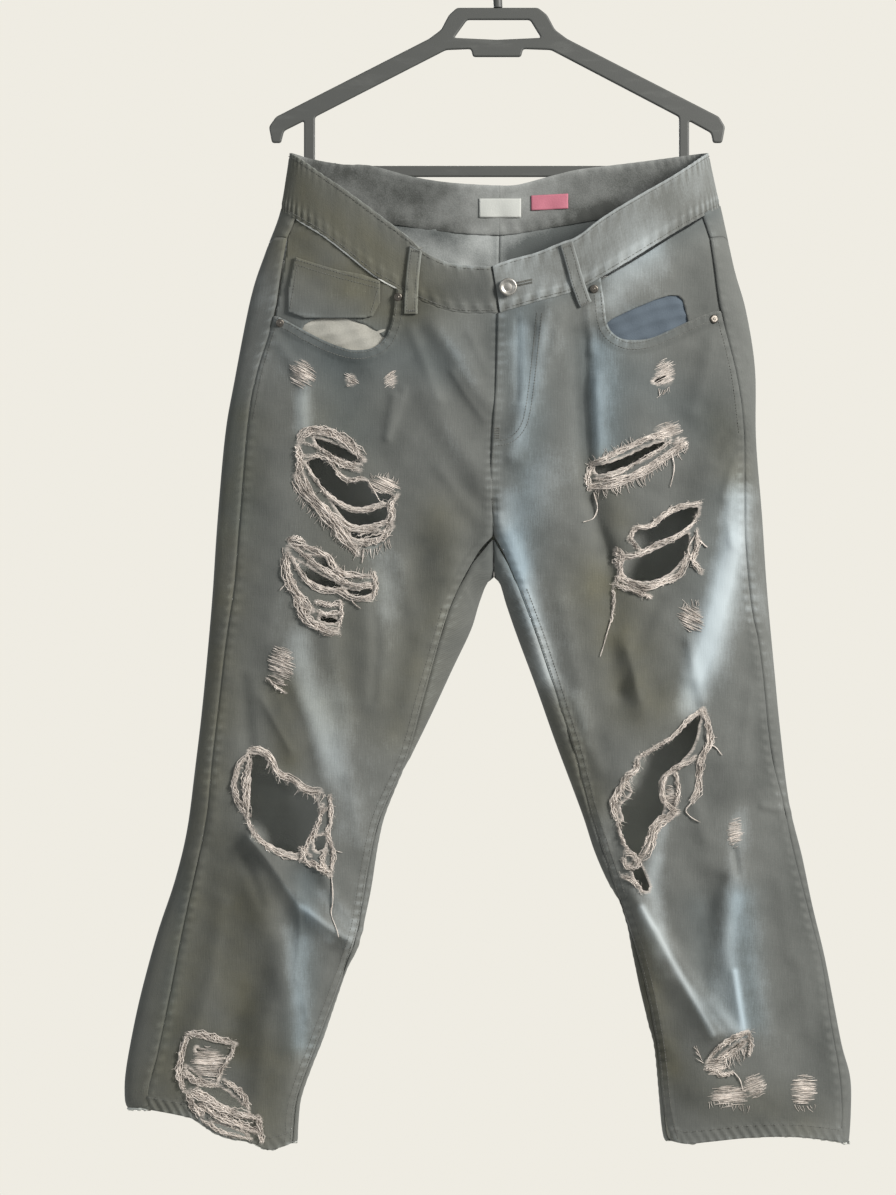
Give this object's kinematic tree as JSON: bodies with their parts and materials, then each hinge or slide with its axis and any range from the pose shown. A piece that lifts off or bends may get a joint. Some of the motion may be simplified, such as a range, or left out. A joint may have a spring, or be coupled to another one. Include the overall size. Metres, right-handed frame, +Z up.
{
  "type": "ripped jeans on a clothes hanger",
  "caption": "Worn five-pocket denim jeans with torn, frayed thighs, knees and hems, hanging flat from the lower bar of a moulded plastic clothes hanger.",
  "frame": {"origin": "inside top of the hanger's hook, where it hangs on a rail", "axes": "+Z up, -Y out of the front of the jeans, -X to the wearer's right"},
  "size_m": [0.7275, 0.0871, 1.217],
  "materials": {
    "denim": "washed and dirtied twill",
    "pocket_cotton": "plain cotton",
    "frayed_thread": "bare weft threads",
    "label_white": "woven, blank",
    "label_pink": "woven, blank",
    "aged_metal": "tarnished",
    "hanger_plastic": "moulded, satin"
  },
  "bodies": {
    "root": {"front_panel_right": "denim", "front_panel_left": "denim", "back_panel_right": "denim", "back_panel_left": "denim", "yoke_right": "denim", "yoke_left": "denim", "waistband_right": "denim", "waistband_left": "denim", "fly_shield": "denim", "pocket_facing_right": "denim", "pocket_facing_left": "denim", "pocket_bag_right": "pocket_cotton", "pocket_bag_left": "pocket_cotton", "coin_pocket": "denim", "back_pocket_right": "denim", "back_pocket_left": "denim", "belt_loop_front_right": "denim", "belt_loop_front_left": "denim", "belt_loop_rear_right": "denim", "belt_loop_rear_left": "denim", "belt_loop_centre": "denim", "button": "aged_metal", "rivet_1": "aged_metal", "rivet_2": "aged_metal", "rivet_3": "aged_metal", "rivet_4": "aged_metal", "label_white": "label_white", "label_pink": "label_pink", "fray_thigh_right_upper": "frayed_thread", "fray_thigh_right_middle": "frayed_thread", "fray_thigh_right_lower": "frayed_thread", "fray_thigh_right_band": "frayed_thread", "fray_thigh_right_hem": "frayed_thread", "fray_knee_right_upper": "frayed_thread", "fray_knee_right_side": "frayed_thread", "fray_hem_right": "frayed_thread", "fray_thigh_left_upper": "frayed_thread", "fray_thigh_left_middle": "frayed_thread", "fray_thigh_left_lower": "frayed_thread", "fray_knee_left_upper": "frayed_thread", "fray_knee_left_side": "frayed_thread", "fray_hem_left": "frayed_thread", "hanger_frame": "hanger_plastic", "hanger_hook": "hanger_plastic"}
  },
  "joints": []
}
